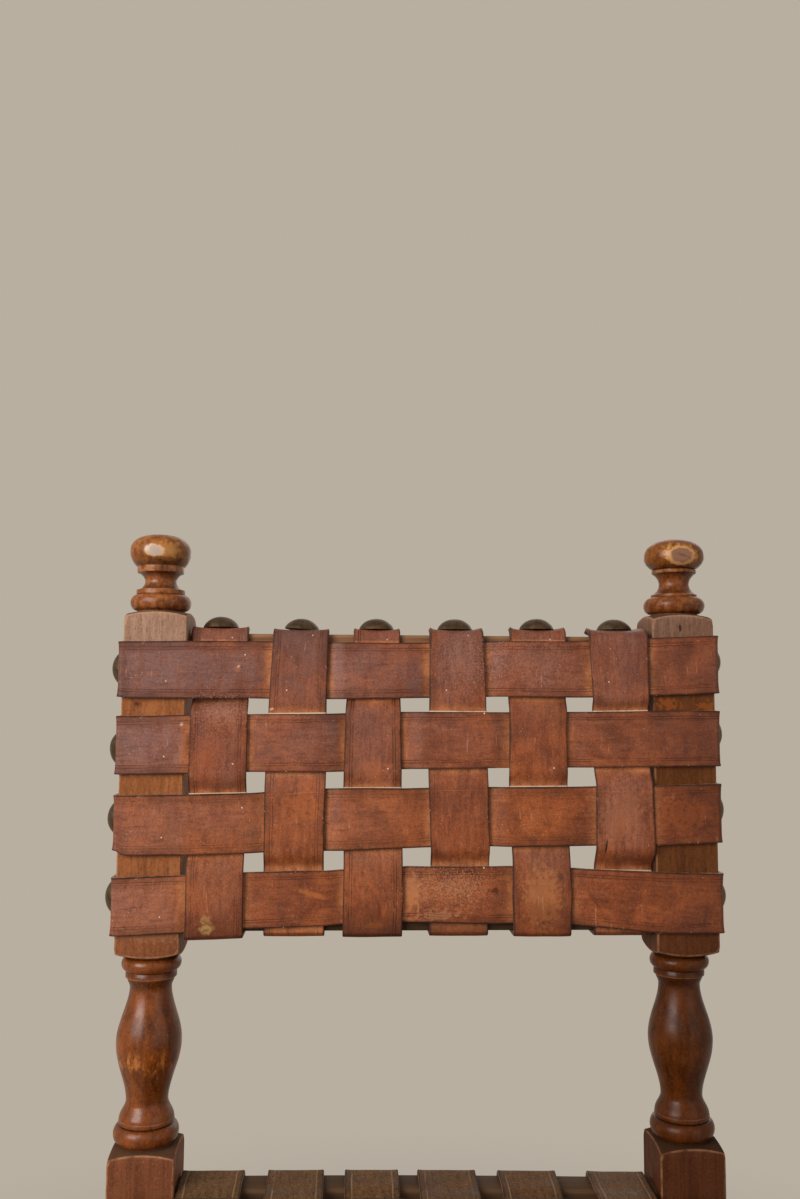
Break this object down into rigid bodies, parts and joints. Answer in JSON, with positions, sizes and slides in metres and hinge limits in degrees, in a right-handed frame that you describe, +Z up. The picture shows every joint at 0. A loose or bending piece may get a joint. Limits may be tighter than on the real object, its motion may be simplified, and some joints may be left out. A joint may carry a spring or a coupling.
{
  "type": "side chair",
  "caption": "Wooden side chair with turned posts and a back and seat woven from wide leather straps held by large domed nails.",
  "frame": {"origin": "on the floor, below the middle of the chair's overall box", "axes": "+Z up, -Y towards the front of the chair, +X towards the right of someone looking at its front"},
  "size_m": [0.4776, 0.485, 0.9349],
  "materials": {
    "post_wood": "worn satin varnish on turnings, paler matt blocks",
    "rail_wood": "matt brown wood",
    "back_leather": "waxed saddle leather with tooled edge lines, burnished edges and wear",
    "seat_leather": "dusty, rubbed brown leather",
    "nail_bronze": "aged bronze, dull"
  },
  "bodies": {
    "root": {"back_post_left": "post_wood", "back_post_right": "post_wood", "front_leg_left": "post_wood", "front_leg_right": "post_wood", "back_top_rail": "rail_wood", "back_bottom_rail": "rail_wood", "seat_rail_front": "rail_wood", "seat_rail_rear": "rail_wood", "seat_rail_left": "rail_wood", "seat_rail_right": "rail_wood", "stretcher_front": "post_wood", "stretcher_rear": "post_wood", "stretcher_left": "post_wood", "stretcher_right": "post_wood", "back_upright_strap_1": "back_leather", "back_upright_strap_2": "back_leather", "back_upright_strap_3": "back_leather", "back_upright_strap_4": "back_leather", "back_upright_strap_5": "back_leather", "back_upright_strap_6": "back_leather", "back_cross_strap_1": "back_leather", "back_cross_strap_2": "back_leather", "back_cross_strap_3": "back_leather", "back_cross_strap_4": "back_leather", "seat_long_strap_1": "seat_leather", "seat_cross_strap_1": "seat_leather", "seat_long_strap_2": "seat_leather", "seat_cross_strap_2": "seat_leather", "seat_long_strap_3": "seat_leather", "seat_cross_strap_3": "seat_leather", "seat_long_strap_4": "seat_leather", "seat_cross_strap_4": "seat_leather", "seat_long_strap_5": "seat_leather", "seat_cross_strap_5": "seat_leather", "seat_long_strap_6": "seat_leather", "seat_cross_strap_6": "seat_leather", "top_nail_1": "nail_bronze", "bottom_nail_1": "nail_bronze", "top_nail_2": "nail_bronze", "bottom_nail_2": "nail_bronze", "top_nail_3": "nail_bronze", "bottom_nail_3": "nail_bronze", "top_nail_4": "nail_bronze", "bottom_nail_4": "nail_bronze", "top_nail_5": "nail_bronze", "bottom_nail_5": "nail_bronze", "top_nail_6": "nail_bronze", "bottom_nail_6": "nail_bronze", "side_nail_left_1": "nail_bronze", "side_nail_right_1": "nail_bronze", "side_nail_left_2": "nail_bronze", "side_nail_right_2": "nail_bronze", "side_nail_left_3": "nail_bronze", "side_nail_right_3": "nail_bronze", "side_nail_left_4": "nail_bronze", "side_nail_right_4": "nail_bronze"}
  },
  "joints": []
}
